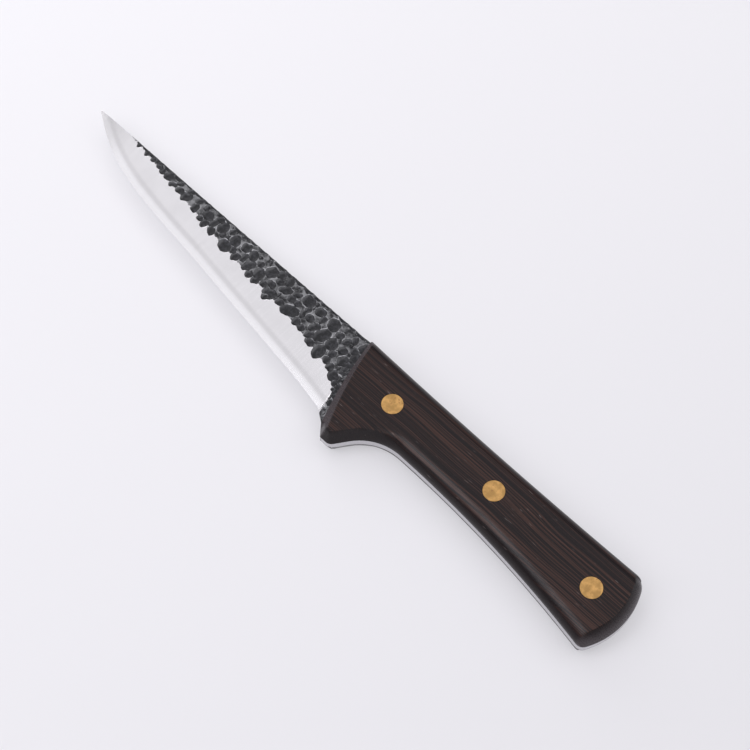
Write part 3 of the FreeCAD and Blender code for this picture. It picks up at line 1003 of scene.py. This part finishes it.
def wood_finish(wood):
    """Dark open-grained wood: wavy grain lines along the handle, short pores, and a painted sheen
    on the end bevels.
    """
    recipe = Recipe("oiled_wood")
    place = recipe.place()
    sway = recipe.noise(place, (16.0, 40.0, 40.0), 2.0, 0.5)
    shift = recipe.add("ShaderNodeCombineXYZ", {
        "Y": recipe.span(sway, 0.25, 0.75, -0.0011, 0.0011, False),
        "Z": recipe.span(sway, 0.25, 0.75, 0.0009, -0.0009, False)}).outputs[0]
    bent = recipe.add("ShaderNodeVectorMath", {0: place, 1: shift}, operation="ADD").outputs[0]
    lines = recipe.noise(bent, (6.0, 2350.0, 420.0), 1.5, 0.5)
    bands = recipe.noise(bent, (6.0, 230.0, 160.0), 2.0, 0.5)
    fibre = recipe.noise(bent, (60.0, 3200.0, 3200.0), 2.0, 0.6)
    pores = recipe.noise(bent, (190.0, 2300.0, 2300.0), 1.0, 0.5)
    amount = recipe.times(recipe.span(lines, 0.46, 0.62),
                          recipe.span(bands, 0.30, 0.62, 0.62, 1.0))
    broad = recipe.span(recipe.attribute("flatness"), 0.55, 0.90, 0.06, 1.0)
    amount = recipe.times(amount, broad)
    tone = recipe.blend(amount, wood.heartwood, wood.grain)
    fleck = recipe.span(fibre, 0.35, 0.75, 0.0, 0.45)
    tone = recipe.blend(fleck, tone, shaded(wood.heartwood, 0.55))
    pore = recipe.span(pores, 0.73, 0.80)
    tone = recipe.blend(recipe.times(pore, 0.55), tone, (0.16, 0.13, 0.125))
    # Painted sheen: the front and butt bevels are drawn a lighter grey-violet, as if they caught
    # the light.
    bevel_sheen_mask = recipe.times(recipe.attribute("end_bevel"),
                           recipe.span(bands, 0.2, 0.8, 0.55, 0.85))
    tone = recipe.blend(bevel_sheen_mask, tone, PAINTED_BEVEL_SHEEN)
    rough = recipe.span(fibre, 0.3, 0.7, wood.roughness - 0.04, wood.roughness + 0.10)
    relief = recipe.plus(lines, recipe.times(pore, -1.2))
    normal = recipe.bump(recipe.plus(relief, recipe.times(fibre, 0.5)), 0.00005, 0.35)
    return recipe.finish(recipe.shader(Base_Color=tone, Roughness=rough, Normal=normal,
                                       Specular_IOR_Level=0.24))


def brass_finish(brass):
    """Rubbed brass with a few brown spots."""
    recipe = Recipe("rubbed_brass")
    place = recipe.place()
    cloud = recipe.noise(place, 330.0, 4.0, 0.6)
    spots = recipe.noise(place, 900.0, 2.0, 0.5)
    rubs = recipe.noise(place, (700.0, 4200.0, 700.0), 3.0, 0.6, (0.0, 0.0, 0.6))
    clean = recipe.blend(recipe.span(cloud, 0.35, 0.70), shaded(brass.brass, 0.62),
                         brass.brass)
    tone = recipe.blend(recipe.span(spots, 0.60, 0.74, 0.0, 0.7), clean, brass.tarnish)
    rough = recipe.span(rubs, 0.3, 0.7, brass.roughness - 0.06, brass.roughness + 0.10)
    normal = recipe.bump(recipe.plus(rubs, cloud), 0.00002, 0.4)
    return recipe.finish(recipe.shader(Base_Color=tone, Metallic=1.0, Roughness=rough,
                                       Normal=normal))


# How brightly the floor glows: painted light, since the floor is no lamp.
GLOW = (0.452, 0.446, 0.466)


def floor_finish(stage):
    """A pale sheet that glows a little, so that shadows on it stay faint: painted light, brighter
    towards minus X and plus Y.
    """
    recipe = Recipe("pale_floor")
    place = recipe.place()
    grain = recipe.noise(place, 260.0, 4.0, 0.6)
    wide = recipe.noise(place, 6.0, 2.0, 0.5)
    low = shaded(stage.floor, 0.985)
    tone = recipe.blend(recipe.span(recipe.plus(grain, wide), 0.7, 1.3), low,
                        stage.floor)
    rough = recipe.span(grain, 0.3, 0.7, 0.55, 0.65)
    # Painted light: the glow grows from minus X and plus Y to the other side, standing in for the
    # fall-off of the lamps' light.
    across = recipe.add("ShaderNodeSeparateXYZ", {"Vector": place})
    lean = recipe.plus(recipe.times(across.outputs["Y"], 0.35),
                       recipe.times(across.outputs["X"], -1.0))
    glow = recipe.blend(recipe.span(lean, -0.25, 0.25, 0.0, 1.0, False),
                        shaded(GLOW, 0.83), shaded(GLOW, 1.17))
    return recipe.finish(recipe.shader(Base_Color=tone, Roughness=rough, Emission_Color=glow,
                                       Emission_Strength=1.0))


# ----------------------------------------------------------------------------------- operators

# Where the camera looks, in millimetres of the frame, and each soft box's direction, distance,
# width, height and tint.
TARGET = (19.65, 8.85, 16.5)
SOFT_BOXES = (
    ("side_light", (-0.32, -0.54, 0.78), 1.2, 0.50, 1.02, (0.955, 0.95, 1.0)),
    ("far_light", (0.62, 0.50, 0.62), 1.4, 1.2, 1.0, (1.0, 0.99, 1.0)),
    ("tip_light", (-0.81, 0.32, 0.46), 1.3, 1.0, 0.6, (1.0, 0.99, 1.0)),
    ("near_light", (0.66, -0.68, 0.36), 1.3, 1.1, 0.8, (1.0, 0.99, 1.0)),
    ("ceiling", (0.0, 0.0, 1.0), 1.7, 4.0, 4.0, (0.985, 0.98, 1.0)),
)
ROOM_TINT = (0.97, 0.97, 1.0, 1.0)
FLOOR_SIZE = 24.0


class KNIFE_OT_stage(bpy.types.Operator):
    """Set the camera, the lights and the floor"""
    bl_idname = "knife.stage"
    bl_label = "Stage"

    def execute(self, context):
        stage = context.scene.knife_stage
        target = Vector(TARGET) * MM
        back = Vector((math.sin(stage.azimuth) * math.cos(stage.elevation),
                       -math.cos(stage.azimuth) * math.cos(stage.elevation),
                       math.sin(stage.elevation)))
        start_clean()
        bpy.ops.object.camera_add(location=target + back * stage.distance,
                                  rotation=(-back).to_track_quat("-Z", "Y").to_euler())
        camera = context.object
        camera.name = "camera"
        camera.data.lens = stage.lens
        camera.data.clip_start = 0.01
        context.scene.camera = camera

        for name, *build in SOFT_BOXES:
            self.add_soft_box(name, getattr(stage, name), *build)
        world = bpy.data.worlds.new("room")
        world.use_nodes = True
        room = world.node_tree.nodes["Background"]
        room.inputs["Color"].default_value = ROOM_TINT
        room.inputs["Strength"].default_value = stage.surroundings
        context.scene.world = world
        context.scene.view_settings.view_transform = "Standard"

        start_clean()
        bpy.ops.mesh.primitive_plane_add(size=FLOOR_SIZE, location=(0, 0, 0))
        floor = context.object
        floor.name = "floor"
        floor.data.materials.append(floor_finish(stage))
        return {"FINISHED"}

    def add_soft_box(self, name, radiance, direction, distance, wide, tall, tint):
        """An area light that shines at the knife and looks as bright as its radiance."""
        away = Vector(direction).normalized()
        start_clean()
        bpy.ops.object.light_add(type="AREA", location=away * distance,
                                 rotation=away.to_track_quat("Z", "Y").to_euler())
        light = bpy.context.object
        light.name = name
        light.data.shape = "RECTANGLE"
        light.data.size = wide
        light.data.size_y = tall
        light.data.energy = radiance * math.pi * wide * tall
        light.data.color = tint


class KNIFE_OT_forged_blade(bpy.types.Operator):
    """Forge the blade with its tang"""
    bl_idname = "knife.forged_blade"
    bl_label = "Forged blade"

    def execute(self, context):
        steel = context.scene.knife_steel
        piece = forge_blade(steel)
        finish_piece(piece, "steel", steel_finish(steel), "blade")
        return {"FINISHED"}


class KNIFE_OT_scales(bpy.types.Operator):
    """Carve the two wooden handle scales"""
    bl_idname = "knife.scales"
    bl_label = "Scales"

    def execute(self, context):
        wood = context.scene.knife_wood
        finish = wood_finish(wood)
        left = carve_scale(wood)
        right = mirror_scale(left)
        finish_piece(left, "wood", finish, "left_scale")
        finish_piece(right, "wood", finish, "right_scale")
        return {"FINISHED"}


class KNIFE_OT_rivets(bpy.types.Operator):
    """Give the rivets their brass"""
    bl_idname = "knife.rivets"
    bl_label = "Rivets"

    def execute(self, context):
        finish = brass_finish(context.scene.knife_brass)
        rivets = {name: node for name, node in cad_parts.items() if "rivet" in name}
        for name, node in rivets.items():
            if not node.material_slots:
                raise RuntimeError(f"{name} has no material slot")
            for holder in node.material_slots:
                holder.material = finish
        return {"FINISHED"}


class KNIFE_PT_panel(bpy.types.Panel):
    """The knife's pieces, in the order in which they are made"""
    bl_idname = "KNIFE_PT_panel"
    bl_label = "Boning knife"
    bl_space_type = "VIEW_3D"
    bl_region_type = "UI"
    bl_category = "Knife"

    def draw(self, context):
        scene = context.scene
        for settings, operator in ((scene.knife_stage, KNIFE_OT_stage),
                                   (scene.knife_steel, KNIFE_OT_forged_blade),
                                   (scene.knife_wood, KNIFE_OT_scales),
                                   (scene.knife_brass, KNIFE_OT_rivets)):
            box = self.layout.box()
            for name in settings.__annotations__:
                box.prop(settings, name)
            box.operator(operator.bl_idname)


CLASSES = (KNIFE_PG_steel, KNIFE_PG_wood, KNIFE_PG_brass, KNIFE_PG_stage, KNIFE_OT_stage,
           KNIFE_OT_forged_blade, KNIFE_OT_scales, KNIFE_OT_rivets, KNIFE_PT_panel)


def register():
    for kind in CLASSES:
        bpy.utils.register_class(kind)
    bpy.types.Scene.knife_steel = PointerProperty(type=KNIFE_PG_steel)
    bpy.types.Scene.knife_wood = PointerProperty(type=KNIFE_PG_wood)
    bpy.types.Scene.knife_brass = PointerProperty(type=KNIFE_PG_brass)
    bpy.types.Scene.knife_stage = PointerProperty(type=KNIFE_PG_stage)


def unregister():
    for name in ("knife_stage", "knife_brass", "knife_wood", "knife_steel"):
        delattr(bpy.types.Scene, name)
    for kind in reversed(CLASSES):
        bpy.utils.unregister_class(kind)


def main():
    register()
    bpy.ops.knife.stage()
    bpy.ops.knife.forged_blade()
    bpy.ops.knife.scales()
    bpy.ops.knife.rivets()
    start_clean()


if __name__ == "__main__":
    main()
